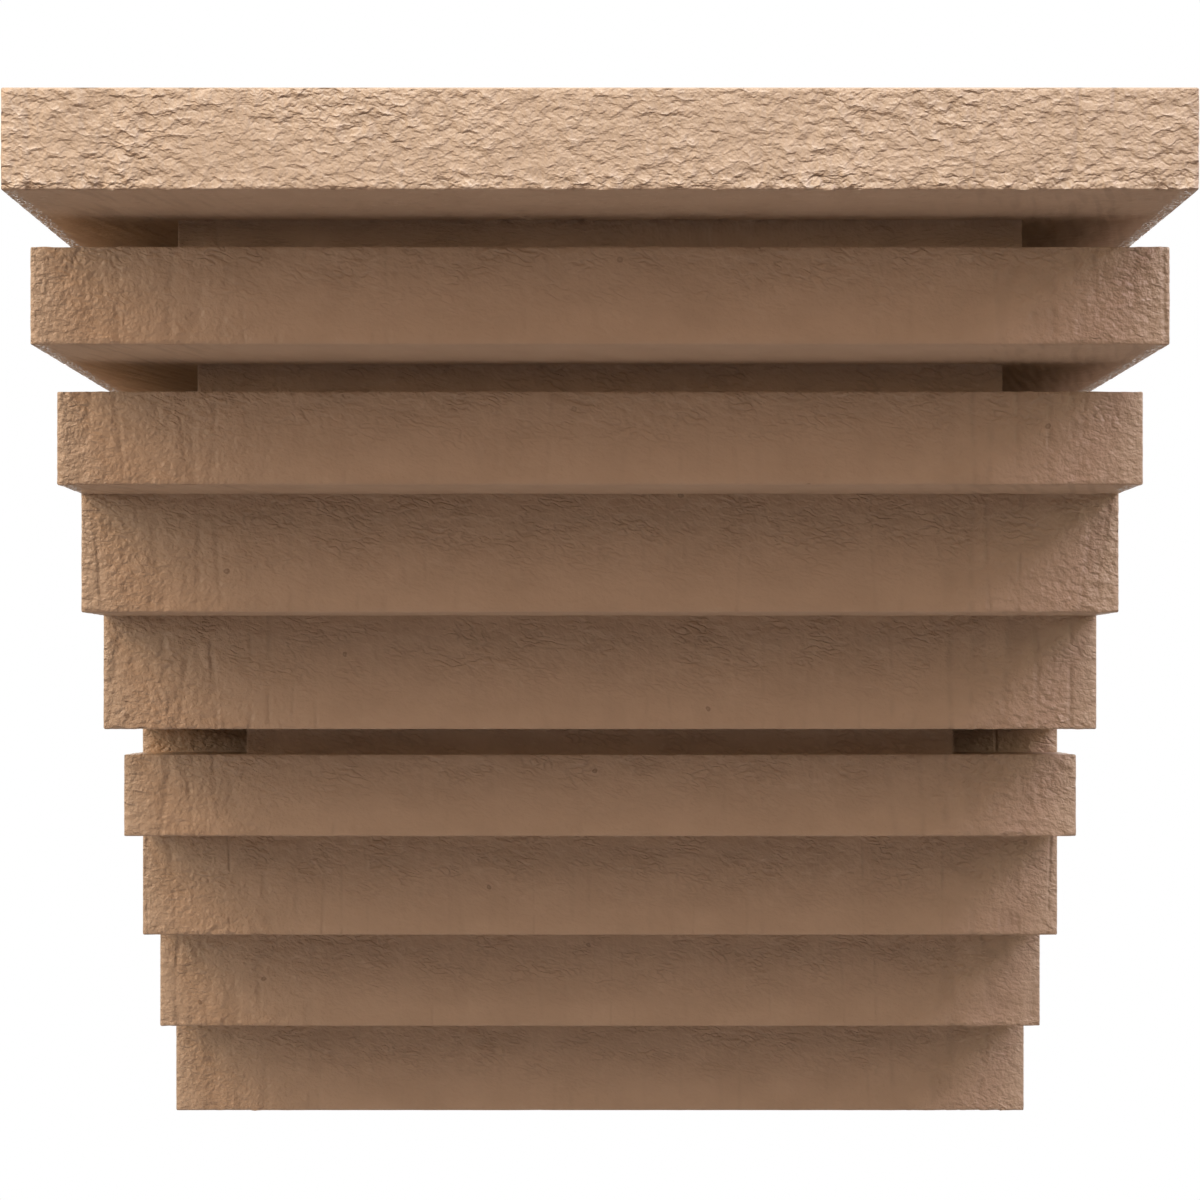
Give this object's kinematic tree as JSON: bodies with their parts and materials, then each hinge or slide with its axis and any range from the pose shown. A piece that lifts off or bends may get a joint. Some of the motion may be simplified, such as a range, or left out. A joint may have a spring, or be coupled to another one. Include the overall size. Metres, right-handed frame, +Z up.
{
  "type": "stepped corbel",
  "caption": "Cast urethane corbel with a rough-sawn timber look: full-width slabs step back down to the wall, some parted by shadow gaps round a narrower core.",
  "frame": {"origin": "middle of the flat back, on the wall's plane", "axes": "+Z up, +Y into the wall, so the front with the long top slab faces -Y; X along the wall"},
  "size_m": [0.3048, 0.3048, 0.3048],
  "materials": {
    "primed_urethane": "tan primer, eggshell, over rough-sawn timber grain cast into the urethane"
  },
  "bodies": {
    "root": {"corbel": "primed_urethane"}
  },
  "joints": []
}
